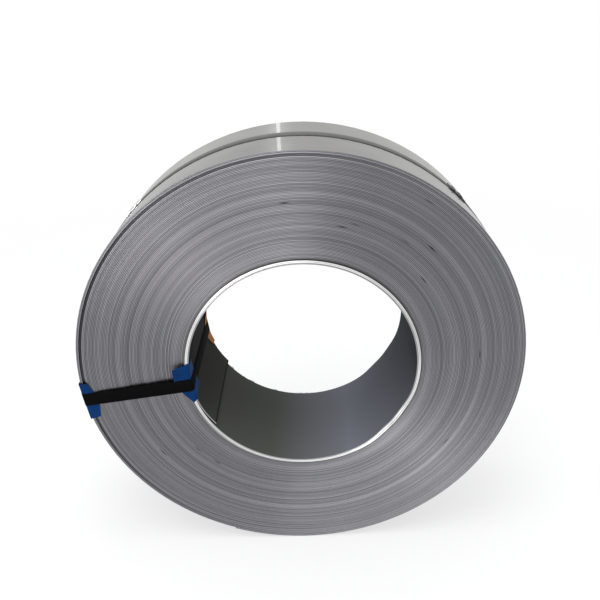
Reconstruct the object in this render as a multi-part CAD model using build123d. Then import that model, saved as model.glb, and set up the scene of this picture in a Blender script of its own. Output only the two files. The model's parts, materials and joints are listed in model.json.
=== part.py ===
"""A slit steel coil standing on its rim, tied by a band round the rim and one through the eye.

The coil's axis is along Y, its front end faces -Y, +Z is up, and the origin is on the floor
below the middle of the coil. All lengths are in millimetres and angles in degrees, counted
from +X towards +Z as seen from the front.
"""
from build123d import *
import math
import os

# The strip and its winding
bore_diameter = 508.0
strip_gauge = 3.0
winding_gap = 0.012
strip_width = 250.0
rim_proud = 6.0
side_wander = 2.0
# Groups of turns from the bore outwards that run level with each other
band_turns = (3, 10, 12, 9, 13, 11, 12, 9, 2, 2)
# How far each group after the proud rim is set back from the front, as shares of side_wander
band_setback_shares = (0.0, 0.35, 0.1, 0.5, 0.2, 0.45, 0.05, 1.6, 0.0)
inner_end_angle = -144.0
inner_end_ramp = 85.0
outer_end_angle = -110.0
outer_end_ramp = 50.0

# The two bands and what lies under the eye band: both underlays have one gauge
band_width = 32.0
underlay_gauge = 0.5
eye_strap_gauge = 0.6
seat_clearance = 0.05
girth_setback = 8.0
eye_angle = -171.0

# The corner guards, bent from sheet
guard_length = 95.0
guard_face_leg = 36.0
guard_side_leg = 38.0
guard_corner_cut = 12.0

# The crimped seals
seal_length = 50.0
seal_gauge = 1.0
seal_notch_width = 7.0
seal_notch_depth = 5.0
seal_notch_shares = (-0.22, 0.22)
seal_left_angle = 138.0
seal_right_angle = 46.0
eye_seal_share = 0.5

cut_overrun = 5.0
band_sector = 30.0

turn_pitch = strip_gauge + winding_gap
bore_radius = bore_diameter / 2
outer_radius = bore_radius + sum(band_turns) * turn_pitch
front = -strip_width / 2
underlay_top = seat_clearance + underlay_gauge
eye_strap_seat = underlay_top + seat_clearance
eye_strap_top = eye_strap_seat + eye_strap_gauge
eye_seal_radius = bore_radius + eye_seal_share * (outer_radius - bore_radius)
axis_height = outer_radius + underlay_top
reach = 2 * outer_radius
slice_length = 2 * strip_width


def polar(radius, angle):
    """A point at this radius and angle, seen from the front, as (x, z)."""
    turn = math.radians(angle)
    return (radius * math.cos(turn), radius * math.sin(turn))


def coil_section():
    """The wound turns cut through on one side of the axis: x is the radius and y runs along it."""
    offsets = [-rim_proud] + [share * side_wander for share in band_setback_shares]
    front_points = []
    radius = bore_radius
    for turns, offset in zip(band_turns, offsets):
        front_points.append((radius, front + offset))
        radius += turns * turn_pitch
        front_points.append((radius, front + offset))
    # Every turn is the same strip, so the rear end repeats the front one
    rear_points = [(x, y + strip_width) for x, y in reversed(front_points)]
    return make_face(Polyline(*front_points, *rear_points, close=True))


def step_cutter(angle, ramp, near_radius, far_radius, clear_radius):
    """The wedge that one strip end leaves: nothing at one end of its ramp, a full step at the other."""
    start = polar(near_radius, angle + ramp)
    middle = polar(near_radius + (far_radius - near_radius) / 4, angle + ramp / 2)
    step = polar(far_radius, angle)
    clear_step = polar(clear_radius, angle)
    clear_middle = polar(clear_radius, angle + ramp / 2)
    clear_start = polar(clear_radius, angle + ramp)
    outline = [
        ThreePointArc(start, middle, step),
        Line(step, clear_step),
        ThreePointArc(clear_step, clear_middle, clear_start),
        Line(clear_start, start),
    ]
    return extrude(Plane.XZ * make_face(outline), slice_length, both=True)


def strip_coil(section):
    """The turned coil, stepped by one gauge where the strip starts in the bore and ends on the rim."""
    turned = revolve(section, Axis.Y)
    inner_step = step_cutter(
        inner_end_angle, inner_end_ramp, bore_radius, bore_radius + strip_gauge, bore_radius - cut_overrun
    )
    outer_step = step_cutter(
        outer_end_angle, -outer_end_ramp, outer_radius, outer_radius - strip_gauge, outer_radius + cut_overrun
    )
    return turned - inner_step - outer_step


def wrapped(profile, width, angle):
    """A profile turned about the coil's axis and trimmed to a constant width at this angle."""
    sector = Rot(0, -band_sector / 2, 0) * revolve(profile, Axis.Y, revolution_arc=band_sector)
    slab = Box(reach, slice_length, width, align=(Align.MIN, Align.CENTER, Align.CENTER))
    return Rot(0, -angle, 0) * (sector & slab)


def around(hull, inside, outside):
    """The layer between two distances from the coil's taut outline, bent sharp over its corners."""
    outer = offset(hull, amount=outside, kind=Kind.INTERSECTION)
    return outer - offset(hull, amount=inside, kind=Kind.INTERSECTION)


def window(low_radius, high_radius, low_y, high_y):
    """A rectangle over part of the section, to pick one corner or run."""
    size = (high_radius - low_radius, high_y - low_y)
    return Pos((low_radius + high_radius) / 2, (low_y + high_y) / 2) * Rectangle(*size)


def corner_guard(layer, outer, rear):
    """One bent sheet over an edge of the coil, its four corners cut off at a slant."""
    over = guard_side_leg + cut_overrun
    low_radius = outer_radius - guard_face_leg if outer else bore_radius - over
    high_radius = outer_radius + over if outer else bore_radius + guard_face_leg
    low_y = -front - guard_side_leg if rear else front - over
    high_y = over - front if rear else front + guard_side_leg
    sheet = wrapped(layer & window(low_radius, high_radius, low_y, high_y), guard_length, eye_angle)
    edge_radius = low_radius if outer else high_radius
    edge_y = low_y if rear else high_y
    corner_radius = outer_radius if outer else bore_radius
    block = guard_corner_cut * math.sqrt(2)
    face_y = -front if rear else front
    for side in (-1, 1):
        half = side * guard_length / 2
        face_cut = Pos(edge_radius, face_y, half) * Rot(0, 45, 0) * Box(block, guard_side_leg, block)
        side_cut = Pos(corner_radius, edge_y, half) * Rot(45, 0, 0) * Box(guard_face_leg, block, block)
        sheet -= Rot(0, -eye_angle, 0) * face_cut
        sheet -= Rot(0, -eye_angle, 0) * side_cut
    return sheet


def girth_seal(angle, strap):
    """A crimped sleeve over the girth band, notched on both edges."""
    low = outer_radius + seat_clearance
    high = outer_radius + underlay_top + seal_gauge
    half = band_width / 2 + seal_gauge
    profile = window(low, high, girth_setback - half, girth_setback + half)
    sleeve = wrapped(profile, seal_length, angle) - strap
    from_axis = (Align.MIN, Align.CENTER, Align.CENTER)
    notch = Box(reach, 2 * seal_notch_depth, seal_notch_width, align=from_axis)
    for share in seal_notch_shares:
        for side in (-1, 1):
            place = Pos(0, girth_setback + side * half, share * seal_length)
            sleeve -= Rot(0, -angle, 0) * place * notch
    return sleeve


def eye_seal(hull, strap):
    """The crimped sleeve over the eye band, on its run down the rear end."""
    layer = around(hull, eye_strap_seat, eye_strap_top + seal_gauge)
    low = eye_seal_radius - seal_length / 2
    run = layer & window(low, low + seal_length, 0, strip_width)
    width = band_width + 2 * seal_gauge
    sleeve = wrapped(run, width, eye_angle) - strap
    to_rear = (Align.CENTER, Align.MIN, Align.CENTER)
    notch = Box(seal_notch_width, strip_width, 2 * seal_notch_depth, align=to_rear)
    for share in seal_notch_shares:
        for side in (-1, 1):
            place = Pos(eye_seal_radius + share * seal_length, 0, side * width / 2)
            sleeve -= Rot(0, -eye_angle, 0) * place * notch
    return sleeve


section = coil_section()
hull = make_hull(section.edges())
guard_layer = around(hull, seat_clearance, underlay_top)
girth_low = girth_setback - band_width / 2
girth_profile = window(
    outer_radius + seat_clearance, outer_radius + underlay_top, girth_low, girth_low + band_width
)
girth = revolve(girth_profile, Axis.Y)
eye = wrapped(around(hull, eye_strap_seat, eye_strap_top), band_width, eye_angle)

parts = {
    "strip_coil": strip_coil(section),
    "girth_strap": girth,
    "girth_seal_left": girth_seal(seal_left_angle, girth),
    "girth_seal_right": girth_seal(seal_right_angle, girth),
    "eye_strap": eye,
    "eye_strap_seal": eye_seal(hull, eye),
    "corner_guard_front_outer": corner_guard(guard_layer, outer=True, rear=False),
    "corner_guard_front_inner": corner_guard(guard_layer, outer=False, rear=False),
    "corner_guard_rear_inner": corner_guard(guard_layer, outer=False, rear=True),
    "corner_guard_rear_outer": corner_guard(guard_layer, outer=True, rear=True),
}

os.makedirs("parts", exist_ok=True)
for name, piece in parts.items():
    export_step(Pos(0, 0, axis_height) * piece, f"parts/{name}.step")
    print(name, len(piece.solids()), round(piece.volume))
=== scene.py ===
# %% [markdown]
# # A slit steel coil, tied and standing on its rim
# One long strip of cold rolled steel is wound on a mandrel until its turns make a ring as tall as
# a table. A steel band holds it round the rim, and a black one goes through the eye over bent
# sheet guards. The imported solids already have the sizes. This lesson winds the strip for real,
# turn by turn, and dresses every surface.

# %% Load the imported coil
import json
import math
import bpy
import numpy as np
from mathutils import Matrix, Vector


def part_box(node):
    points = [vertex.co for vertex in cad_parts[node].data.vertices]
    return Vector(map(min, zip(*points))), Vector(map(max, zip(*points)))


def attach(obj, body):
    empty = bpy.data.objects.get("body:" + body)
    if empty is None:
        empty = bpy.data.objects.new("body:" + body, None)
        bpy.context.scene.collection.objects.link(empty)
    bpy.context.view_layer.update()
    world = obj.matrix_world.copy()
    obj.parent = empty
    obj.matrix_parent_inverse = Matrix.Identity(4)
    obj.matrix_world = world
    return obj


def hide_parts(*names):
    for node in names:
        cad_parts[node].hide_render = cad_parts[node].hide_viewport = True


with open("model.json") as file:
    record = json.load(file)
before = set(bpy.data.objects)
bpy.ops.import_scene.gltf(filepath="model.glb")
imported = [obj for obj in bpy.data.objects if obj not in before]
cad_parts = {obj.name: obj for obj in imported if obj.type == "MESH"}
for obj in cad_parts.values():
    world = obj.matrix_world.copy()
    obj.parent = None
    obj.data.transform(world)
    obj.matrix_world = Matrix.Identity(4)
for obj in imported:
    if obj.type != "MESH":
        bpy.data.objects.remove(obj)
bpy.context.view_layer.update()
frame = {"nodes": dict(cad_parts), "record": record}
print("nodes:", ", ".join(sorted(frame["nodes"])))

# %% [markdown]
# ## Sizes
# The eye's mount gives the axis height, the bore and the strip's width. The coil's box gives its
# outside. Only the strip's gauge and the bands' own small sizes are new here. Angles are counted
# from the right-hand side towards the top, as seen from the front.

# %% Read the driving sizes from the frame
MM = 0.001
eye_mount = next(mount for mount in frame["record"]["mounts"] if mount["name"] == "bore")
AXIS_HEIGHT = eye_mount["pos_m"][2]
BORE_RADIUS = eye_mount["dims"]["r_mm"] * MM
STRIP_WIDTH = eye_mount["dims"]["length_mm"] * MM
coil_low, coil_high = (np.array(corner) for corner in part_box("strip_coil"))
OUTER_RADIUS = (coil_high[0] - coil_low[0]) / 2
FRONT = -STRIP_WIDTH / 2
STRIP_GAUGE = 3.0 * MM
WINDING_GAP = 0.012 * MM
TURN_PITCH = STRIP_GAUGE + WINDING_GAP
EYE_ANGLE = math.radians(-171.0)
print(f"bore {2 * BORE_RADIUS:.3f} m, outside {2 * OUTER_RADIUS:.3f} m, strip {STRIP_WIDTH:.3f} m")

# %% [markdown]
# ## One way to make every long piece
# A strip, a strap and a crimped seal are all one profile carried along a path. At each step of the
# path there is a centre and two directions, and each profile point is the centre plus a share of
# each direction. Whole arrays do this at once, so a coil of eighty turns takes no loop over points.


# %% A profile carried along a path
def unit_rows(rows):
    """Each row divided by its own length."""
    return rows / np.linalg.norm(rows, axis=-1, keepdims=True)


def carried_points(centres, first, second, profile):
    """Point (step, k) is centre + first * profile[k, 0] + second * profile[k, 1]."""
    profile = np.broadcast_to(profile, (len(centres),) + profile.shape[-2:])
    along_first = first[:, None, :] * profile[..., 0:1]
    along_second = second[:, None, :] * profile[..., 1:2]
    return centres[:, None, :] + along_first + along_second


def grid_quads(rows, columns, close_rows, close_columns):
    """Corner numbers of the quads of a grid whose rows or columns may meet their first again."""
    row = np.arange(rows if close_rows else rows - 1)[:, None]
    column = np.arange(columns if close_columns else columns - 1)[None, :]
    next_row = (row + 1) % rows
    next_column = (column + 1) % columns
    corners = (
        row * columns + column,
        row * columns + next_column,
        next_row * columns + next_column,
        next_row * columns + column,
    )
    return np.stack([np.broadcast_to(c, (row.size, column.size)) for c in corners], -1).reshape(-1, 4)


def signed_volume(points, quads):
    """A sixth of the sum of the triple products of all triangles: negative if the faces point in."""
    a, b, c, d = (points[quads[:, k]] for k in range(4))
    halves = np.cross(b, c) + np.cross(c, d)
    return float((a * halves).sum() / 6)


def new_piece(name, points, quads, caps=(), node=None):
    """A mesh object at the origin, riding on the coil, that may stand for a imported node."""
    if signed_volume(points, quads) < 0:
        quads = quads[:, ::-1]
        caps = [cap[::-1] for cap in caps]
    mesh = bpy.data.meshes.new(name)
    mesh.from_pydata(points.tolist(), [], quads.tolist() + [list(cap) for cap in caps])
    mesh.polygons.foreach_set("use_smooth", np.ones(len(mesh.polygons), bool))
    mesh.update()
    piece = bpy.data.objects.new(name, mesh)
    bpy.context.scene.collection.objects.link(piece)
    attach(piece, "root")
    if node:
        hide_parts(node)
    triangles = 2 * len(quads) + sum(len(cap) - 2 for cap in caps)
    print(f"{name}: {len(points)} points, {triangles} triangles")
    return piece


def carried_piece(name, grid, closed, node=None):
    """A closed skin over a grid of profiles, with an end cap at both ends of an open path."""
    steps, around = grid.shape[:2]
    quads = grid_quads(steps, around, closed, True)
    caps = []
    if not closed:
        last = (steps - 1) * around
        caps = [list(range(around))[::-1], list(range(last, last + around))]
    return new_piece(name, grid.reshape(-1, 3), quads, caps, node)


def sharpen_rings(piece, around, columns):
    """Marks as sharp the edges along the path at these profile points, and those round both end caps."""
    mesh = piece.data
    ends = np.empty(2 * len(mesh.edges), np.int32)
    mesh.edges.foreach_get("vertices", ends)
    first, second = ends.reshape(-1, 2).T
    along = (first % around == second % around) & np.isin(first % around, columns)
    last_step = len(mesh.vertices) // around - 1
    same_step = first // around == second // around
    capped = same_step & np.isin(first // around, [0, last_step])
    marks = mesh.attributes.new("sharp_edge", "BOOLEAN", "EDGE")
    marks.data.foreach_set("value", along | capped)


def polar(angle):
    """The outward direction and the direction of growing angle of points at these angles."""
    zero = np.zeros_like(angle)
    outward = np.stack([np.cos(angle), zero, np.sin(angle)], -1)
    sideways = np.stack([-np.sin(angle), zero, np.cos(angle)], -1)
    return outward, sideways


ALONG_AXIS = np.array([0.0, 1.0, 0.0])
AXIS_POINT = np.array([0.0, 0.0, AXIS_HEIGHT])

# %% [markdown]
# ## The wound strip
# The strip starts in the bore and winds outwards clockwise. Its radius grows by one pitch in every
# turn, which is an Archimedean spiral. Both slit edges wander a little sideways while it is wound.
# That wandering makes the rings on the coil's ends. The same angles are used in every turn, so
# neighbouring turns nest and never cut each other.

# %% Spiral: where the strip is after so many turns
INNER_END = math.radians(-144.0)
OUTER_END = math.radians(-110.0)
STEPS_PER_TURN = 128
full_turns = math.floor((OUTER_RADIUS - BORE_RADIUS - STRIP_GAUGE) / TURN_PITCH)
TURNS = full_turns + (INNER_END - OUTER_END) / (2 * math.pi)
step_count = round(TURNS * STEPS_PER_TURN)
turn = np.arange(step_count + 1) / STEPS_PER_TURN
angle = INNER_END - 2 * math.pi * turn
radius = BORE_RADIUS + TURN_PITCH * turn
print(f"{TURNS:.2f} turns, about {radius.mean() * 2 * math.pi * TURNS:.0f} m of strip")

# %% [markdown]
# ### The wander that draws the rings
# A slitter never winds quite straight: a group of turns runs level, then the strip steps sideways.
# Painted rings would look flat from the side, so the steps are wound into the strip itself. The
# level groups come from a list, eased into each other, and a few sines add the small drift.

# %% Sideways wander: what makes the rings on the ends
rng = np.random.default_rng(7)
RIM_TURNS = 3.0
RIM_PROUD = 6.0 * MM
RIM_RAMP = 0.25
# Groups of turns that run level, from the bore outwards: the first is the rim, the last but one a gap
BAND_TURNS = np.array([RIM_TURNS, 10, 12, 9, 13, 11, 12, 7.6, 2, 2.4])
BAND_SETBACK = np.array([0.0, 0.0, 0.7, 0.2, 1.0, 0.4, 0.9, 0.1, 5.0, 0.0]) * MM
WANDER = 0.16 * MM
# For each drift: how many sines, and their slowest and fastest rate in waves per turn
SLOW_DRIFT = (9, 0.3, 1.8)
QUICK_DRIFT = (7, 2.0, 6.0)
QUICK_SHARE = 0.5


def drift(count, slowest, fastest):
    """A sum of sines of the turn number, with drawn rates and phases: smooth and never repeating."""
    rates = rng.uniform(slowest, fastest, count)
    phases = rng.uniform(0, 2 * math.pi, count)
    return np.sin(2 * math.pi * rates[:, None] * turn + phases[:, None]).sum(0) / math.sqrt(count)


band_ends = np.cumsum(BAND_TURNS)
setback = BAND_SETBACK[np.minimum(np.searchsorted(band_ends, turn), len(BAND_TURNS) - 1)]
ease = np.hanning(STEPS_PER_TURN // 2 + 1)
setback = np.convolve(np.pad(setback, len(ease) // 2, "edge"), ease / ease.sum(), "valid")[: len(turn)]
GAP_ANGLE = math.radians(152.0)
GAP_FALL = 3
GAP_LEAD = 0.5
gap_side = (0.5 + 0.5 * np.cos(angle - GAP_ANGLE)) ** GAP_FALL
setback = np.where(turn > band_ends[-3] - GAP_LEAD, setback * gap_side, setback)
rim = RIM_PROUD * (1 - np.clip((turn - RIM_TURNS) / RIM_RAMP, 0, 1))
sideways_shift = setback - rim + WANDER * drift(*SLOW_DRIFT)
sideways_shift = sideways_shift + QUICK_SHARE * WANDER * drift(*QUICK_DRIFT)
print(f"the front edge wanders from {sideways_shift.min() / MM:.1f} to {sideways_shift.max() / MM:.1f} mm")

# %% [markdown]
# ### A sprung end and a dent
# The inner end was let go, so it springs off the turn under it, and something has knocked in the
# proud rim at the lower right. Both could be sculpted by hand. Here each is a bump on the radius,
# so the strip stays one smooth surface and no turn cuts another.

# %% The inner end springs away from the turn under it, and the rim is knocked in at one place
TAIL_LIFT = 4.5 * MM
TAIL_TURNS = 0.075
DENT_ANGLE = math.radians(-36.0)
DENT_SPREAD = math.radians(15.0)
DENT_DEPTH = 5.0 * MM
RIPPLE_HEIGHT = 0.9 * MM
RIPPLE_RATE = 5
RIPPLE_PHASE = 0.6
LOOSE_PAST_RIM = 0.6
LOOSE_FADE = 1.2
lift = TAIL_LIFT * np.clip(1 - turn / TAIL_TURNS, 0, 1) ** 2
off_dent = np.angle(np.exp(1j * (angle - DENT_ANGLE))) / DENT_SPREAD
loose_turns = np.clip((RIM_TURNS + LOOSE_PAST_RIM - turn) / LOOSE_FADE, 0, 1)
dent = DENT_DEPTH * np.exp(-np.abs(off_dent) ** 3) * loose_turns
ripple = RIPPLE_HEIGHT * np.exp(-(off_dent**2)) * np.sin(RIPPLE_RATE * off_dent + RIPPLE_PHASE) * loose_turns
strip_radius = radius - lift - dent
print(f"the inner end stands {lift.max() / MM:.1f} mm off, the dent is {dent.max() / MM:.1f} mm deep")

# %% [markdown]
# ### The strip's section
# Slitting leaves a strip with broken edges, and those make the fine dark lines between the turns.
# A rectangle with a bevel modifier would give them too, at a far higher cost over eighty turns. An
# eight-point section has them from the start.

# %% The strip's section, a flat bar with its slit edges broken, carried along the spiral
EDGE_BREAK = 0.7 * MM
across = np.array([0, EDGE_BREAK, STRIP_GAUGE - EDGE_BREAK, STRIP_GAUGE])
edge_depth = np.array([EDGE_BREAK, 0, 0, EDGE_BREAK])
SHARP_CORNERS = [0, 3, 4, 7]
strip_profile = np.concatenate(
    [np.stack([across, edge_depth], -1), np.stack([across, STRIP_WIDTH - edge_depth], -1)[::-1]]
)
corner_count = len(strip_profile)
outward, _ = polar(angle)
section = np.broadcast_to(strip_profile, (len(turn), corner_count, 2)).copy()
section[:, :, 0] += strip_radius[:, None]
section[:, :, 1] += (FRONT + sideways_shift - ripple)[:, None]
axis_rows = np.broadcast_to(ALONG_AXIS, outward.shape)
centres = np.broadcast_to(AXIS_POINT, outward.shape)
strip_grid = carried_points(centres, outward, axis_rows, section)
strip = carried_piece("wound_strip", strip_grid, False, "strip_coil")
sharpen_rings(strip, corner_count, SHARP_CORNERS)

# %% Attributes for the finish: the turn number, and how deep in the groove a point lies
groove = np.tile(np.array([1.0, 0.0, 0.0, 1.0, 1.0, 0.0, 0.0, 1.0]), len(turn))
for attribute_name, values in (("turn", np.repeat(turn, corner_count)), ("groove", groove)):
    attribute = strip.data.attributes.new(attribute_name, "FLOAT", "POINT")
    attribute.data.foreach_set("value", values)
edge_sides = np.tile(np.array([1, 1, 1, 0, 1, 1, 1, 0]), len(turn) - 1)
print("attributes on the strip: turn and groove,", len(groove), "values each")

# %% [markdown]
# ### The torn burr
# On the rear edge of the bore the slitter has torn up a bright, ragged sliver. A displaced edge
# would move the strip with it, so the sliver is a strip of its own: a three-point section whose
# tip rises and falls with a sum of quick sines, cut off at a level.

# %% A torn burr along the rear edge of the bore
BURR_FROM_TURN = 0.836
BURR_STEPS = 240
BURR_HEIGHT = 2.0 * MM
BURR_LEAST = 0.15 * MM
BURR_WAVES = 6
BURR_RATES = (20.0, 160.0)
BURR_LEVEL = 0.2
BURR_LEAN = 0.4
BURR_ROOT = 2 * BURR_LEAST
burr_turn = np.linspace(BURR_FROM_TURN, 1.0, BURR_STEPS)
burr_out, _ = polar(INNER_END - 2 * math.pi * burr_turn)
burr_rates = rng.uniform(*BURR_RATES, BURR_WAVES)
burr_phases = rng.uniform(0, 2 * math.pi, BURR_WAVES)
torn = np.sin(2 * math.pi * burr_rates[:, None] * burr_turn + burr_phases[:, None]).sum(0)
burr_height = BURR_LEAST + BURR_HEIGHT * np.clip(torn / math.sqrt(BURR_WAVES) - BURR_LEVEL, 0, 1)
burr_section = np.zeros((BURR_STEPS, 3, 2))
burr_section[:, 1, 0] = -burr_height
burr_section[:, 1, 1] = -BURR_LEAN * burr_height
burr_section[:, 2, 1] = -BURR_ROOT
burr_section[:, :, 0] += np.interp(burr_turn, turn, strip_radius)[:, None]
burr_section[:, :, 1] += (FRONT + STRIP_WIDTH + np.interp(burr_turn, turn, sideways_shift))[:, None]
burr_rows = np.broadcast_to(ALONG_AXIS, burr_out.shape)
burr_centres = np.broadcast_to(AXIS_POINT, burr_out.shape)
burr_grid = carried_points(burr_centres, burr_out, burr_rows, burr_section)
burr = carried_piece("bore_burr", burr_grid, False, None)
burr.data.polygons.foreach_set("use_smooth", np.zeros(len(burr.data.polygons), bool))

# %% [markdown]
# ## The two bands
# Strapping is thin steel with soft edges. The girth band follows the outermost turn all round. The
# eye band is a taut loop: down the front, along the bore, up the rear and back along the rim, with
# a small bend over each guard. A bevelled curve would do for both, but the carried profile gives
# the flat sides and soft edges with few points.

# %% A strap's section: a thin bar with half-round edges
BAND_WIDTH = 32.0 * MM
BAND_GAUGE = 0.7 * MM
EDGE_POINTS = 4


def strap_section(width, gauge):
    """A bar width across and gauge high, its two ends half circles of the gauge."""
    turn_round = np.linspace(-math.pi / 2, math.pi / 2, EDGE_POINTS)
    half = np.stack([np.cos(turn_round), np.sin(turn_round)], -1) * gauge / 2
    right = half + [width / 2 - gauge / 2, gauge / 2]
    left = -half + [gauge / 2 - width / 2, gauge / 2]
    return np.concatenate([right, left])


# %% The girth band
GIRTH_SETBACK = 8.0 * MM
GIRTH_STEPS = 256
GIRTH_BITE = 0.1 * MM
# Each sway has its height, its waves round the coil and its phase
GIRTH_SWAYS = ((0.8 * MM, 2, 1), (0.4 * MM, 5, 0))
girth_angle = np.linspace(0, 2 * math.pi, GIRTH_STEPS, endpoint=False)
girth_out, _ = polar(girth_angle)
turned_back = np.mod(girth_angle - OUTER_END, 2 * math.pi) / (2 * math.pi)
girth_radius = OUTER_RADIUS - TURN_PITCH * turned_back
girth_radius = np.minimum(girth_radius, OUTER_RADIUS - GIRTH_BITE)
sway = sum(height * np.sin(girth_angle * waves + phase) for height, waves, phase in GIRTH_SWAYS)
girth_centres = AXIS_POINT + girth_out * girth_radius[:, None]
girth_centres[:, 1] += GIRTH_SETBACK + sway
girth_rows = np.broadcast_to(ALONG_AXIS, girth_out.shape)
girth_grid = carried_points(girth_centres, girth_rows, girth_out, strap_section(BAND_WIDTH, BAND_GAUGE))
girth_band = carried_piece("girth_band", girth_grid, True, "girth_strap")


# %% A loop with rounded corners
def rounded_loop(corners, bend, samples):
    """Points and outward normals of a closed outline: straight runs between arcs of this radius."""
    corners = np.asarray(corners, float)
    before = unit_rows(np.roll(corners, 1, 0) - corners)
    after = unit_rows(np.roll(corners, -1, 0) - corners)
    half_turn = np.arccos(np.clip((before * after).sum(1), -1, 1)) / 2
    middle = unit_rows(before + after)
    centre = corners + middle * (bend / np.sin(half_turn))[:, None]
    start = np.arctan2(*(corners + before * (bend / np.tan(half_turn))[:, None] - centre).T[::-1])
    end = np.arctan2(*(corners + after * (bend / np.tan(half_turn))[:, None] - centre).T[::-1])
    sweep = np.angle(np.exp(1j * (end - start)))
    arc = start[:, None] + sweep[:, None] * np.linspace(0, 1, samples)
    normals = np.stack([np.cos(arc), np.sin(arc)], -1)
    return (centre[:, None] + bend * normals).reshape(-1, 2), normals.reshape(-1, 2)


# %% The eye band
GUARD_GAUGE = 0.8 * MM
EYE_BEND = 5.0 * MM
BEND_SAMPLES = 8
EYE_CLEARANCE = 0.3 * MM
seat = GUARD_GAUGE + EYE_CLEARANCE
front_edge = coil_low[1]
rear_edge = coil_high[1]
eye_corners = [
    (OUTER_RADIUS + seat, FRONT - seat),
    (OUTER_RADIUS + seat, rear_edge + seat),
    (BORE_RADIUS - seat, rear_edge + seat),
    (BORE_RADIUS - seat, front_edge - seat),
]
loop, loop_normals = rounded_loop(eye_corners, EYE_BEND, BEND_SAMPLES)
eye_out, eye_side = polar(np.array([EYE_ANGLE]))
eye_out, eye_side = eye_out[0], eye_side[0]
eye_centres = AXIS_POINT + loop[:, :1] * eye_out + loop[:, 1:] * ALONG_AXIS
eye_normals = loop_normals[:, :1] * eye_out + loop_normals[:, 1:] * ALONG_AXIS
eye_rows = np.broadcast_to(eye_side, eye_centres.shape)
eye_grid = carried_points(eye_centres, eye_rows, eye_normals, strap_section(BAND_WIDTH, BAND_GAUGE))
eye_band = carried_piece("eye_band", eye_grid, True, "eye_strap")

# %% [markdown]
# ## Corner guards
# A guard is a piece of painted sheet bent over the coil's edge, so that the band doesn't bite into
# it. The band holds its middle down, and its loose ends stand away a little. A bent plane with two
# modifiers would lie too neatly. As a grid, with one direction along the coil's edge and the other
# round the bend, each guard can taper, slip and lie askew by a number.


# %% A thin sheet closed round its border
def sheet_piece(name, middle, gauge, node):
    """Two copies of a grid, half a gauge to either side along its normals, joined round the border."""
    along_rows = np.gradient(middle, axis=0)
    along_columns = np.gradient(middle, axis=1)
    normals = unit_rows(np.cross(along_rows, along_columns))
    skins = [middle + normals * gauge / 2, middle - normals * gauge / 2]
    rows, columns = middle.shape[:2]
    number = np.arange(rows * columns).reshape(rows, columns)
    top = grid_quads(rows, columns, False, False)
    bottom = top[:, ::-1] + rows * columns
    border = np.concatenate([number[0, :-1], number[:-1, -1], number[-1, :0:-1], number[:0:-1, 0]])
    next_border = np.roll(border, -1)
    rim_quads = np.stack([next_border, border, border + rows * columns, next_border + rows * columns], -1)
    points = np.concatenate([skin.reshape(-1, 3) for skin in skins])
    return new_piece(name, points, np.concatenate([top, bottom, rim_quads]), (), node)


# %% Guards at the four edges that the eye band crosses
GUARD_LENGTH = 95.0 * MM
GUARD_FACE_LEG = 31.0 * MM
GUARD_SIDE_LEG = 38.0 * MM
GUARD_BEND = 3.0 * MM
GUARD_FLARE = 3.0 * MM
GUARD_CLEARANCE = 0.1 * MM
GUARD_ROWS = 41
GUARD_COLUMNS = 49
# Shares of a guard: how far from its middle it keeps its width, how much of its flare the bend has,
# and how much of the bend is taken off the corner
GUARD_STRAIGHT = 0.35
FLARE_AT_BEND = 0.4
FLARE_POWER = 1.5
CORNER_SHARE = 0.3


def guard(name, node, outer, rear, taper, askew, slip):
    """A sheet over one edge: u runs along the edge, v from the end's leg round the bend to the side leg.

    A sheet that lies askew by a slope has an end leg that shortens along u and leans the same way.
    """
    u = np.linspace(-1, 1, GUARD_ROWS)[:, None]
    v = np.linspace(-1, 1, GUARD_COLUMNS)[None, :]
    narrowed = 1 - taper * np.clip((np.abs(u) - GUARD_STRAIGHT) / (1 - GUARD_STRAIGHT), 0, 1)
    slope = askew * u * GUARD_LENGTH / 2
    face_leg = np.clip(-v, 0, 1) * (GUARD_FACE_LEG - slope) * narrowed
    side_leg = np.clip(v, 0, 1) * (GUARD_SIDE_LEG + slope) * narrowed
    rounding = GUARD_BEND * np.exp(-((face_leg + side_leg) / GUARD_BEND))
    past_band = np.abs(u) * GUARD_LENGTH - BAND_WIDTH
    loose = np.clip(past_band / (GUARD_LENGTH - BAND_WIDTH), 0, 1) ** FLARE_POWER
    flare = GUARD_FLARE * loose * (np.abs(v) * (1 - FLARE_AT_BEND) + FLARE_AT_BEND)
    stand_off = GUARD_GAUGE / 2 + GUARD_CLEARANCE + flare
    away = 1.0 if outer else -1.0
    end = 1.0 if rear else -1.0
    edge_radius = OUTER_RADIUS if outer else BORE_RADIUS
    front_y = FRONT if outer else front_edge
    edge_y = rear_edge if rear else front_y
    on_side = v > 0
    corner = rounding * CORNER_SHARE
    sheet_radius = edge_radius + away * np.where(on_side, stand_off, stand_off - face_leg) - away * corner
    sheet_y = edge_y + end * np.where(on_side, stand_off - side_leg, stand_off) - end * corner
    along_edge = u * GUARD_LENGTH / 2 + slip + askew * (face_leg - side_leg)
    sheet_angle = EYE_ANGLE + along_edge / edge_radius
    outward, _ = polar(sheet_angle)
    middle = AXIS_POINT + outward * sheet_radius[..., None] + sheet_y[..., None] * ALONG_AXIS
    return sheet_piece(name, middle, GUARD_GAUGE, node)


# Each guard: its name and node, outer or inner edge, rear or front end, taper, slope and slip
guards = [
    guard("guard_front_rim", "corner_guard_front_outer", True, False, 0.2, -0.08, 5 * MM),
    guard("guard_front_eye", "corner_guard_front_inner", False, False, 0.15, 0.36, -8 * MM),
    guard("guard_rear_eye", "corner_guard_rear_inner", False, True, 0.35, 0.1, 3 * MM),
    guard("guard_rear_rim", "corner_guard_rear_outer", True, True, 0.3, 0.0, 0.0),
]

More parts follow.
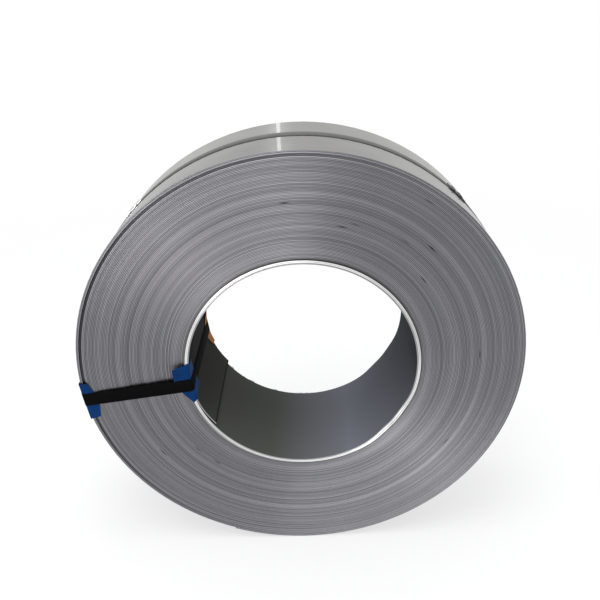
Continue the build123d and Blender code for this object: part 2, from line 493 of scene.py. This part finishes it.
# %% [markdown]
# ## Crimped seals
# The ends of a steel strap overlap inside a short sleeve, and a tool nips notches into both of its
# edges. Cutting the notches out of a box would leave hard edges. The sleeve is a flat rounded
# section carried along the strap, which narrows at each notch while the nipped metal folds up.

# %% A notched sleeve on a strap
SEAL_LENGTH = 50.0 * MM
SEAL_HEIGHT = 3.2 * MM
SEAL_STEPS = 73
NOTCH_PLACES = (-0.22, 0.22)
NOTCH_HALF = 3.5 * MM
NOTCH_DEPTH = 5.0 * MM
NOTCH_FOLD = 2.4 * MM
NOTCH_POWER = 4
SEAL_EXTRA_WIDTH = 3 * MM
SEAL_SINK = 0.4 * MM
SEAL_LEFT_ANGLE = math.radians(138.0)
SEAL_RIGHT_ANGLE = math.radians(46.0)
# Shares of a seal: what counts as its edge, and how much lower its pinched ends are
EDGE_SHARE = 0.5
END_PINCH = 0.25
PINCH_POWER = 8


def seal(name, node, slot, centre, along, side, up):
    """The sleeve's half width is less by the notch depth where a notch is, and the edge there folds up."""
    travel = np.linspace(-0.5, 0.5, SEAL_STEPS) * SEAL_LENGTH
    off_notch = [(travel - place * SEAL_LENGTH) / NOTCH_HALF for place in NOTCH_PLACES]
    notch = sum(np.exp(-(off**NOTCH_POWER)) for off in off_notch)
    flat = strap_section(BAND_WIDTH + SEAL_EXTRA_WIDTH, SEAL_HEIGHT)
    section = np.broadcast_to(flat, (SEAL_STEPS,) + flat.shape).copy()
    edge_share = np.abs(flat[:, 0]) / np.abs(flat[:, 0]).max()
    section[:, :, 0] -= np.sign(flat[:, 0]) * notch[:, None] * NOTCH_DEPTH * (edge_share > EDGE_SHARE)
    section[:, :, 1] += notch[:, None] * NOTCH_FOLD * (flat[:, 1] > SEAL_HEIGHT / 2)
    spread = 1 - END_PINCH * (np.abs(travel) / (SEAL_LENGTH / 2))[:, None] ** PINCH_POWER
    section[:, :, 1] *= spread
    rows = [np.broadcast_to(direction, (SEAL_STEPS, 3)) for direction in (side, up)]
    grid = carried_points(centre + travel[:, None] * along, rows[0], rows[1], section)
    return carried_piece(name, grid, False, node)


def girth_place(angle):
    """A point on the girth band's middle, with its directions along, across and outward."""
    outward, sideways = (rows[0] for rows in polar(np.array([angle])))
    lower = np.interp(np.mod(angle, 2 * math.pi), girth_angle, girth_radius) - SEAL_SINK
    return AXIS_POINT + outward * lower + ALONG_AXIS * GIRTH_SETBACK, sideways, ALONG_AXIS, outward


seals = [
    seal("seal_left", "girth_seal_left", "seal_bright", *girth_place(SEAL_LEFT_ANGLE)),
    seal("seal_right", "girth_seal_right", "seal_dark", *girth_place(SEAL_RIGHT_ANGLE)),
]
eye_seal_low, eye_seal_high = (np.array(corner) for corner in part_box("eye_strap_seal"))
eye_seal_centre = (eye_seal_low + eye_seal_high) / 2
eye_seal_centre[1] = rear_edge + seat - EYE_CLEARANCE
rear_seal = seal("seal_rear", "eye_strap_seal", "seal_dark", eye_seal_centre, eye_out, eye_side, ALONG_AXIS)
seals.append(rear_seal)

# %% [markdown]
# ## Finishes
# Each finish is a small tree of nodes. It could be drawn by hand in the editor, but then nobody can
# read how it was made. A helper adds a node, sets its plain inputs and links the rest, so that a
# material reads like a list of what happens to the surface.


# %% Helpers for node trees
def add_node(tree, kind, inputs=None, **settings):
    """A node of this kind, with settings on the node and values or links on its named inputs."""
    new = tree.nodes.new(kind)
    for key, value in settings.items():
        setattr(new, key, value)
    for key, value in (inputs or {}).items():
        if isinstance(value, bpy.types.NodeSocket):
            tree.links.new(value, new.inputs[key])
        else:
            new.inputs[key].default_value = value
    return new


def math_node(tree, operation, *values, clamp=False):
    """The output of a Math node with these two or three values or links."""
    new = add_node(tree, "ShaderNodeMath", dict(enumerate(values)), operation=operation, use_clamp=clamp)
    return new.outputs[0]


def blend_colours(tree, share, first, second):
    """The first colour where share is 0 and the second where it is 1."""
    new = add_node(tree, "ShaderNodeMix", {0: share, 6: first, 7: second}, data_type="RGBA")
    return new.outputs[2]


def between(tree, value, low, high, out_low=0.0, out_high=1.0):
    """A value moved from one range to another, and held at the ends."""
    inputs = {"Value": value, "From Min": low, "From Max": high, "To Min": out_low, "To Max": out_high}
    return add_node(tree, "ShaderNodeMapRange", inputs).outputs[0]


def colour_stops(tree, value, stops):
    """A colour that goes from stop to stop as the value grows from 0 to 1."""
    new = add_node(tree, "ShaderNodeValToRGB", {0: value})
    places = new.color_ramp.elements
    while len(places) < len(stops):
        places.new(1.0)
    for element, (place, colour) in zip(places, stops):
        element.position = place
        element.color = colour
    return new.outputs[0]


def seen_white(tree):
    """1 for a ray that the camera sends, also by way of a shiny or clear surface, and 0 for light."""
    path = add_node(tree, "ShaderNodeLightPath").outputs
    bounced = math_node(tree, "MAXIMUM", path["Is Glossy Ray"], path["Is Transmission Ray"])
    return math_node(tree, "MAXIMUM", path["Is Camera Ray"], bounced)


def new_material(name):
    """An empty material with its shader, and the place where its nodes go."""
    material = bpy.data.materials.new(name)
    material.use_nodes = True
    tree = material.node_tree
    shader = tree.nodes["Principled BSDF"]
    return material, tree, shader


def grey(value):
    """A neutral colour of this brightness."""
    return (value, value, value, 1.0)


# %% [markdown]
# ### Effects that several finishes share
# Rolling leaves streaks along the strip, and handling rubs paint off in patches. A picture of each
# would show seams. Noise has none, so each effect is one node group that reads the noise once and
# is placed in every finish that needs it.


# %% A shared effect: rolled streaks that run round the coil
def rolled_streaks():
    """Noise read at (angle, place along the axis), stretched long round the coil and short along it."""
    tree = bpy.data.node_groups.new("rolled_streaks", "ShaderNodeTree")
    tree.interface.new_socket("Streak", in_out="OUTPUT", socket_type="NodeSocketFloat")
    tree.interface.new_socket("Cloud", in_out="OUTPUT", socket_type="NodeSocketFloat")
    output = tree.nodes.new("NodeGroupOutput")
    place = add_node(tree, "ShaderNodeTexCoord").outputs["Object"]
    split = add_node(tree, "ShaderNodeSeparateXYZ", {0: place})
    height = math_node(tree, "SUBTRACT", split.outputs[2], AXIS_HEIGHT)
    turned = math_node(tree, "ARCTAN2", height, split.outputs[0])
    along = add_node(tree, "ShaderNodeCombineXYZ", {0: turned, 1: split.outputs[1]}).outputs[0]
    stretched = add_node(tree, "ShaderNodeMapping", {"Vector": along, "Scale": (1.5, 260.0, 1.0)}).outputs[0]
    streak = add_node(tree, "ShaderNodeTexNoise", {"Vector": stretched, "Scale": 1.0, "Detail": 3.0})
    cloud = add_node(tree, "ShaderNodeTexNoise", {"Vector": place, "Scale": 4.0, "Detail": 4.0})
    tree.links.new(streak.outputs[0], output.inputs["Streak"])
    tree.links.new(cloud.outputs[0], output.inputs["Cloud"])
    return tree


STREAKS = rolled_streaks()
print("node group", STREAKS.name, "with", len(STREAKS.nodes), "nodes")


# %% A shared effect: paint rubbed thin in patches
def rubbed_patches():
    """A mask of fine patches: two noises multiplied, then cut at a chosen level."""
    tree = bpy.data.node_groups.new("rubbed_patches", "ShaderNodeTree")
    tree.interface.new_socket("Level", in_out="INPUT", socket_type="NodeSocketFloat")
    tree.interface.new_socket("Rubbed", in_out="OUTPUT", socket_type="NodeSocketFloat")
    tree.interface.new_socket("Cloud", in_out="OUTPUT", socket_type="NodeSocketFloat")
    inside = tree.nodes.new("NodeGroupInput")
    output = tree.nodes.new("NodeGroupOutput")
    place = add_node(tree, "ShaderNodeTexCoord").outputs["Object"]
    broad = add_node(tree, "ShaderNodeTexNoise", {"Vector": place, "Scale": 22.0, "Detail": 3.0})
    fine = add_node(tree, "ShaderNodeTexNoise", {"Vector": place, "Scale": 260.0, "Detail": 5.0})
    product = math_node(tree, "MULTIPLY", broad.outputs[0], fine.outputs[0])
    above = math_node(tree, "SUBTRACT", product, inside.outputs["Level"])
    rubbed = math_node(tree, "MULTIPLY", above, 14.0, clamp=True)
    tree.links.new(rubbed, output.inputs["Rubbed"])
    tree.links.new(broad.outputs[0], output.inputs["Cloud"])
    return tree


PATCHES = rubbed_patches()
print("node group", PATCHES.name, "with", len(PATCHES.nodes), "nodes")

# %% [markdown]
# ### The strip's two finishes
# The broad faces are cold rolled: a satin metal with faint streaks along the strip. The slit edges
# are rougher and darker, with painted shade in the grooves between the turns. Every turn came off
# the slitter a little different, so its tone is drawn from its turn number. The inner turns are
# clean and bright.

# %% Cold rolled faces: dull with painted shade and sheen in the bore, glossy under fresh oil outside
# Painted shade over the one turn that is seen in the bore, darkest at the upper left, with a painted bluish
# sheen low on the right
BORE_SHADE_AND_SHEEN_STOPS = (
    (0.000, (0.005, 0.005, 0.005, 1)),
    (0.004, (0.046, 0.048, 0.043, 1)),
    (0.080, (0.018, 0.018, 0.017, 1)),
    (0.160, (0.004, 0.004, 0.004, 1)),
    (0.600, (0.036, 0.037, 0.044, 1)),
    (0.780, (0.165, 0.172, 0.200, 1)),
    (0.900, (0.078, 0.081, 0.072, 1)),
    (1.000, (0.068, 0.070, 0.063, 1)),
)
# Painted shadow on the turn that lies under the sprung inner end
SHADOW_UNDER_TAIL = grey(0.002)
ROLLED_DARK = (0.165, 0.161, 0.153, 1)
ROLLED_PALE = (0.20, 0.196, 0.187, 1)
ROLLED_SMUDGE = (0.12, 0.12, 0.126, 1)
BORE_METALLIC = 0.08
rolled, tree, shader = new_material("cold_rolled_face")
turn_number = add_node(tree, "ShaderNodeAttribute", attribute_name="turn").outputs["Fac"]
streaks = add_node(tree, "ShaderNodeGroup", node_tree=STREAKS)
tone = between(tree, streaks.outputs["Streak"], 0.3, 0.7)
base = blend_colours(tree, tone, ROLLED_DARK, ROLLED_PALE)
smudge = between(tree, streaks.outputs["Cloud"], 0.42, 0.72, 0.0, 0.6)
base = blend_colours(tree, smudge, base, ROLLED_SMUDGE)
# The bore's seen turn takes painted shade and a painted sheen from these stops
bore_shade_and_sheen = colour_stops(tree, turn_number, BORE_SHADE_AND_SHEEN_STOPS)
# Painted shadow under the sprung inner end, past turn 1 in the bore
shadow_under_tail = between(tree, turn_number, 1.0, 1.004)
bore_shade_and_sheen = blend_colours(tree, shadow_under_tail, bore_shade_and_sheen, SHADOW_UNDER_TAIL)
in_bore = between(tree, turn_number, 1.3, 1.1)
base = blend_colours(tree, in_bore, base, bore_shade_and_sheen)
rough = between(tree, streaks.outputs["Cloud"], 0.3, 0.7, 0.28, 0.38)
outside = between(tree, turn_number, 0.85 * TURNS, 0.9 * TURNS, 0.0, 0.35)
tree.links.new(base, shader.inputs["Base Color"])
tree.links.new(rough, shader.inputs["Roughness"])
tree.links.new(outside, shader.inputs["Coat Weight"])
tree.links.new(between(tree, in_bore, 0.0, 1.0, 1.0, BORE_METALLIC), shader.inputs["Metallic"])
shader.inputs["Coat Roughness"].default_value = 0.05
shader.inputs["Specular IOR Level"].default_value = 0.0
print(rolled.name, "has", len(tree.nodes), "nodes")

# %% [markdown]
# ### Marks on single turns
# Some turns are painted darker all round, as shade at the steps between groups of turns, some edges
# were knocked, and painted shade lies in the outer gap. Painting them on would need a picture. The
# turn number already says which turn a point is on and how far along it, so a mark is only a place
# and a reach in that one number.

# %% Marks on single turns: dark rings all round, and short nicks where an edge was knocked
# The dark rings are painted shade at the steps between groups of turns
# Each ring has its radius, how many turns it reaches to either side and how dark it is
DARK_RINGS = (
    (470, 0.8, 0.35), (446, 0.8, 0.3), (428, 0.8, 0.45), (391, 3.2, 0.2),
    (387, 0.8, 0.5), (345, 0.8, 0.3), (312, 0.8, 0.35),
)
# Each nick has its radius, its angle and how dark it is
NICKS = (
    (392, 95, 0.8), (345, 76, 0.7), (357, 72, 0.35), (395, 46, 0.95), (335, 39, 0.7), (470, 56, 0.5),
    (369, 54, 0.35), (398, 3, 0.6), (402, -33, 0.5), (406, -145, 0.6), (335, -128, 0.6), (334, -138, 0.5),
)
NICK_LENGTH = 30.0 * MM
FULL_SHARE = 0.1
# Painted shade on the two turns in the outer gap: their radii, reach in turns and darkness
GAP_RADII = (490, 493)
GAP_REACH = 0.3
GAP_DARK = 0.85


def turn_at(radius, angle):
    """The turn number of the strip that passes nearest to this place, in millimetres and degrees."""
    part_turn = (INNER_END - math.radians(angle)) / (2 * math.pi) % 1
    return round((radius * MM - BORE_RADIUS) / TURN_PITCH - part_turn) + part_turn


def turn_marks(tree, turn_number, marks):
    """The largest of all marks: each is full at its own turn number and fades to nothing at its reach."""
    total = 0.0
    for place, reach, strength in marks:
        away = math_node(tree, "ABSOLUTE", math_node(tree, "SUBTRACT", turn_number, place))
        mark = between(tree, away, reach, FULL_SHARE * reach, 0.0, strength)
        total = math_node(tree, "MAXIMUM", total, mark)
    return total


ring_marks = []
for ring_radius, reach, dark in DARK_RINGS:
    ring_marks.append(((ring_radius * MM - BORE_RADIUS) / TURN_PITCH, reach, dark))
gap_degrees = math.degrees(GAP_ANGLE)
ring_marks += [(turn_at(gap_radius, gap_degrees), GAP_REACH, GAP_DARK) for gap_radius in GAP_RADII]
nick_marks = []
for nick_radius, nick_angle, dark in NICKS:
    half_turns = NICK_LENGTH / 2 / (2 * math.pi * nick_radius * MM)
    nick_marks.append((turn_at(nick_radius, nick_angle), half_turns, dark))
print(len(ring_marks), "dark rings and arcs, and", len(nick_marks), "nicks")

# %% [markdown]
# ### The slit edges
# The knives leave fine scratches along every edge, so light fans over the end as it does over a
# record. A painted fan would stay where it is when the coil is seen from another side. A metal with
# a stretched gloss, which runs round the axis, gives the fan by itself. Tones, painted shade and
# marks are blended over each other from the broad ones to the small.

# %% Slit edges
SLIT_DARK = (0.24, 0.24, 0.26, 1)
SLIT_PALE = (0.44, 0.44, 0.468, 1)
SLIT_SMUDGE = (0.25, 0.23, 0.235, 1)
# Painted shade colour of the dark rings and the outer gap
RING_SHADE = (0.08, 0.078, 0.085, 1)
# Painted shade in the grooves between the turns
GROOVE_SHADE = (0.035, 0.035, 0.037, 1)
# Painted shade on the turns just outside the proud rim
SHADE_BESIDE_RIM = (0.12, 0.105, 0.095, 1)
NICK_DARK = grey(0.02)
GROOVE_SHARE = 0.95
RIM_GROOVE_SHARE = 0.55
# The clean rim over its own turns, from the bore outwards
RIM_STOPS = (
    (0.0, grey(0.32)), (0.30, grey(0.38)), (0.36, grey(0.90)), (0.92, grey(0.86)), (1.0, grey(0.6)),
)
slit, tree, shader = new_material("slit_edges")
turn_number = add_node(tree, "ShaderNodeAttribute", attribute_name="turn").outputs["Fac"]
groove_depth = add_node(tree, "ShaderNodeAttribute", attribute_name="groove").outputs["Fac"]
streaks = add_node(tree, "ShaderNodeGroup", node_tree=STREAKS)
wide_rings = add_node(
    tree, "ShaderNodeTexNoise", {"W": turn_number, "Scale": 0.15, "Detail": 1.0}, noise_dimensions="1D"
)
thin_rings = add_node(
    tree, "ShaderNodeTexNoise", {"W": turn_number, "Scale": 0.9, "Detail": 2.0}, noise_dimensions="1D"
)
ring_sum = math_node(tree, "ADD", wide_rings.outputs[0], thin_rings.outputs[0])
tone = between(tree, ring_sum, 0.65, 1.35)
base = blend_colours(tree, tone, SLIT_DARK, SLIT_PALE)
smudge = between(tree, streaks.outputs["Cloud"], 0.45, 0.75, 0.0, 0.3)
base = blend_colours(tree, smudge, base, SLIT_SMUDGE)
# Painted shade: the dark rings at the steps and the two turns in the outer gap
ring_shade = turn_marks(tree, turn_number, ring_marks)
base = blend_colours(tree, ring_shade, base, RING_SHADE)
# Painted shade: each slit edge darkens at its broken corners, in the grooves between turns
groove_shade = math_node(tree, "MULTIPLY", groove_depth, GROOVE_SHARE)
base = blend_colours(tree, groove_shade, base, GROOVE_SHADE)
# Painted shade on the turns just outside the proud rim, where it stands over them
shade_beside_rim = between(tree, turn_number, RIM_TURNS + 2.2, RIM_TURNS + 0.4, 0.0, 0.6)
base = blend_colours(tree, shade_beside_rim, base, SHADE_BESIDE_RIM)
clean = between(tree, turn_number, RIM_TURNS + 0.15, RIM_TURNS - 0.1)
clean_share = math_node(tree, "DIVIDE", turn_number, RIM_TURNS)
clean_colour = colour_stops(tree, clean_share, RIM_STOPS)
dulled = between(tree, streaks.outputs["Cloud"], 0.48, 0.62, 0.0, 0.4)
clean_colour = blend_colours(tree, dulled, clean_colour, grey(0.35))
# Painted shade in the grooves between the rim's turns
rim_groove_shade = math_node(tree, "MULTIPLY", groove_depth, RIM_GROOVE_SHARE)
clean_colour = blend_colours(tree, rim_groove_shade, clean_colour, grey(0.08))
base = blend_colours(tree, clean, base, clean_colour)
nicked = turn_marks(tree, turn_number, nick_marks)
base = blend_colours(tree, nicked, base, NICK_DARK)
tree.links.new(base, shader.inputs["Base Color"])
rough = between(tree, clean, 0.0, 1.0, 0.6, 0.35)
tree.links.new(rough, shader.inputs["Roughness"])
shader.inputs["Metallic"].default_value = 1.0
round_the_axis = add_node(tree, "ShaderNodeTangent", direction_type="RADIAL", axis="Y").outputs[0]
tree.links.new(round_the_axis, shader.inputs["Tangent"])
shader.inputs["Anisotropic"].default_value = 0.9
shader.inputs["Anisotropic Rotation"].default_value = 0.25
print(slit.name, "has", len(tree.nodes), "nodes")

# %% [markdown]
# ### Sheared ends and torn metal
# The strip's two ends were cut with a shear. Their faces are painted near black as shade, for the dark
# line at the sprung inner end. The burr is fresh metal, painted pale as the glints along the bore's
# rear edge. Both are too small to show a pattern, so each has one plain colour. A number for each
# face says which of the strip's three finishes it wears: broad face, slit edge or sheared end.

# %% The sheared ends of the strip, and the bare torn metal of the burr
sheared, _, shader = new_material("strip_end_painted_shade")
# Painted shade: both end faces are near black
shader.inputs["Base Color"].default_value = grey(0.02)
shader.inputs["Roughness"].default_value = 0.8
shader.inputs["Specular IOR Level"].default_value = 0.05
bare, _, shader = new_material("torn_steel_painted_glint")
# Fresh steel, painted near white as the glints along the bore's rear edge
shader.inputs["Base Color"].default_value = grey(0.88)
shader.inputs["Roughness"].default_value = 0.4
burr.data.materials.append(bare)
for material in (rolled, slit, sheared):
    strip.data.materials.append(material)
face_materials = np.concatenate([edge_sides, [2, 2]]).astype(np.int32)
strip.data.polygons.foreach_set("material_index", face_materials)
strip.data.update()
print("slit edge faces:", int((face_materials == 1).sum()))


# %% [markdown]
# ### Paint and zinc
# Bands, guards and seals are painted or plated, and all are rubbed in the same way. One function
# makes them all from a colour, the colour under it, a level of wear and a gloss. Separate trees
# would repeat the same nodes six times.


# %% Painted and plated pieces
DARKER_SHARE = 0.72
ROUGHNESS_SPREAD = 0.12


def painted(name, colour, rubbed_colour, level, roughness, metallic, gloss=0.5):
    """A paint with slow changes of tone, rubbed through to another colour in fine patches."""
    material, tree, shader = new_material(name)
    patches = add_node(tree, "ShaderNodeGroup", {"Level": level}, node_tree=PATCHES)
    darker = tuple(DARKER_SHARE * part for part in colour) + (1,)
    tone = between(tree, patches.outputs["Cloud"], 0.3, 0.7)
    base = blend_colours(tree, tone, darker, colour + (1,))
    base = blend_colours(tree, patches.outputs["Rubbed"], base, rubbed_colour + (1,))
    rough = between(tree, patches.outputs["Cloud"], 0.3, 0.7, roughness, roughness + ROUGHNESS_SPREAD)
    tree.links.new(base, shader.inputs["Base Color"])
    tree.links.new(rough, shader.inputs["Roughness"])
    shader.inputs["Metallic"].default_value = metallic
    shader.inputs["Specular IOR Level"].default_value = gloss
    return material


# Each finish: its colour, the colour where it is rubbed, the wear level, roughness, metallic and gloss
BLACK = (0.005, 0.005, 0.005)
BLUE = (0.001, 0.035, 0.150)
ORANGE = (0.44, 0.17, 0.022)
black_paint = painted("black_strap_paint", BLACK, (0.015, 0.015, 0.015), 0.42, 0.6, 0.0, 0.01)
grey_strap = painted("grey_strap_steel", (0.11, 0.11, 0.105), (0.2, 0.2, 0.19), 0.38, 0.45, 0.8)
blue_paint = painted("blue_guard_paint", BLUE, (0.05, 0.09, 0.18), 0.42, 0.5, 0.0, 0.05)
orange_paint = painted("orange_guard_paint", ORANGE, (0.42, 0.27, 0.12), 0.42, 0.5, 0.0, 0.08)
bright_zinc = painted("bright_zinc_seal", (0.82, 0.82, 0.80), (0.50, 0.50, 0.49), 0.36, 0.22, 1.0)
# On the right girth seal this dark paint is painted shade, on a seal like the bright left one; on the rear
# seal it is the eye band's black
dark_seal_and_shade = painted("dark_seal_paint_and_shade", (0.035, 0.035, 0.035), (0.25, 0.25, 0.24), 0.36, 0.4, 0.3)
girth_band.data.materials.append(grey_strap)
eye_band.data.materials.append(black_paint)
for piece, material in zip(guards, (blue_paint, blue_paint, orange_paint, orange_paint)):
    piece.data.materials.append(material)
for piece, material in zip(seals, (bright_zinc, dark_seal_and_shade, dark_seal_and_shade)):
    piece.data.materials.append(material)
print("materials:", len(bpy.data.materials))

# %% [markdown]
# ## Floor, light and camera
# The coil stands on a plain pale floor that runs out to white. It could be white by more light, but
# that would bleach the coil too, so the floor glows only where a camera ray meets it, and keeps
# the shadow near the coil.


# %% Floor
def floor_piece(half_size):
    """A square at floor height."""
    corners = np.array([[-1, -1, 0], [1, -1, 0], [1, 1, 0], [-1, 1, 0]]) * half_size
    mesh = bpy.data.meshes.new("floor")
    mesh.from_pydata(corners.tolist(), [], [[0, 1, 2, 3]])
    piece = bpy.data.objects.new("floor", mesh)
    bpy.context.scene.collection.objects.link(piece)
    return piece


FLOOR_HALF = 30.0
# How far from the coil the floor starts to pale and is white, in outer radii, and its glow at the start
PALE_FROM = 2
PALE_TO = 6
NEAR_GLOW = 0.65
floor = floor_piece(FLOOR_HALF)
floor_paint, tree, shader = new_material("pale_floor")
shader.inputs["Base Color"].default_value = grey(0.90)
shader.inputs["Roughness"].default_value = 0.9
shader.inputs["Specular IOR Level"].default_value = 0.0
glow = add_node(tree, "ShaderNodeEmission", {"Color": grey(1.0), "Strength": 1.0})
spot = add_node(tree, "ShaderNodeTexCoord").outputs["Object"]
distance = add_node(tree, "ShaderNodeVectorMath", {0: spot}, operation="LENGTH").outputs["Value"]
paling = between(tree, distance, PALE_FROM * OUTER_RADIUS, PALE_TO * OUTER_RADIUS, NEAR_GLOW, 1.0)
share = math_node(tree, "MULTIPLY", seen_white(tree), paling)
mixed = add_node(tree, "ShaderNodeMixShader", {0: share, 1: shader.outputs[0], 2: glow.outputs[0]})
tree.links.new(mixed.outputs[0], tree.nodes["Material Output"].inputs["Surface"])
floor.data.materials.append(floor_paint)
print("floor", 2 * FLOOR_HALF, "m across")

# %% [markdown]
# ### Sky and lamps
# In a store, light comes from the roof, a far window and an open door. A sky picture would do it
# all at once and show in every mirror. Here the sky is a plain grey that grows paler upwards, the
# roof is one wide soft lamp, the window draws one bright line on the oiled outside, and the door
# is seen by gloss alone, where it draws the fan over the end.

# %% Sky and lamps
SKY_LOW = (0.46, 0.47, 0.50, 1)
SKY_HIGH = (0.92, 0.93, 0.93, 1)
world = bpy.context.scene.world or bpy.data.worlds.new("sky")
bpy.context.scene.world = world
world.use_nodes = True
tree = world.node_tree
background = tree.nodes["Background"]
direction = add_node(tree, "ShaderNodeTexCoord").outputs["Generated"]
rise = add_node(tree, "ShaderNodeSeparateXYZ", {0: direction}).outputs[2]
lit = between(tree, rise, -0.2, 0.9)
sky = blend_colours(tree, lit, SKY_LOW, SKY_HIGH)
sky = blend_colours(tree, seen_white(tree), sky, grey(1.0))
tree.links.new(sky, background.inputs["Color"])
background.inputs["Strength"].default_value = 1.0


def soft_lamp(name, place, target, width, length, watts):
    """A rectangular lamp: tipped by the angle off straight down, then turned by the heading to its target."""
    lamp = bpy.data.lights.new(name, "AREA")
    lamp.shape = "RECTANGLE"
    lamp.size = width
    lamp.size_y = length
    lamp.energy = watts
    holder = bpy.data.objects.new(name, lamp)
    bpy.context.scene.collection.objects.link(holder)
    holder.location = place
    facing = np.array(target) - np.array(place)
    pitch = math.atan2(math.hypot(facing[0], facing[1]), -facing[2])
    holder.rotation_euler = (pitch, 0, math.atan2(facing[1], facing[0]) - math.pi / 2)
    return holder


soft_lamp("roof_light", (-0.3, -0.6, 3.2), (0, 0, AXIS_HEIGHT), 1.6, 2.4, 60)
door = soft_lamp("open_door", (-1.7, -2.9, 0.1), (0, 0, AXIS_HEIGHT), 2.2, 1.6, 70)
door.visible_diffuse = False
soft_lamp("far_window", (-0.32, 3.0, 1.8), (0, 0, 2 * AXIS_HEIGHT), 0.05, 1.6, 0.8)
print("lamps:", ", ".join(lamp.name for lamp in bpy.data.lights))

# %% [markdown]
# ### Camera
# The view is from close by, above the height of the coil, with a moderately wide lens. Guessing a
# lens and moving the camera about would take many tries. The lens, place and turn here are those at
# which the circles of both ends fall in the right places, and a small shift sets the frame.

# %% Camera
LENS_PIXELS = 632.7
FRAME_PIXELS = 600
MIDDLE_PIXEL = (325.9, 200.0)
CAMERA_PLACE = (10.9 * MM, FRONT - 1208.0 * MM, AXIS_HEIGHT + 837.7 * MM)
CAMERA_PITCH = math.radians(20.057)
CAMERA_YAW = math.radians(1.888)
SENSOR = 36.0
camera = bpy.data.cameras.new("camera")
camera.sensor_width = SENSOR
camera.lens = SENSOR * LENS_PIXELS / FRAME_PIXELS
camera.shift_x = (FRAME_PIXELS / 2 - MIDDLE_PIXEL[0]) / FRAME_PIXELS
camera.shift_y = (MIDDLE_PIXEL[1] - FRAME_PIXELS / 2) / FRAME_PIXELS
stand = bpy.data.objects.new("camera", camera)
bpy.context.scene.collection.objects.link(stand)
stand.location = CAMERA_PLACE
stand.rotation_euler = (math.pi / 2 - CAMERA_PITCH, 0, -CAMERA_YAW)
bpy.context.scene.camera = stand
bpy.context.scene.view_settings.view_transform = "Standard"
print(f"camera lens {camera.lens:.1f} mm")
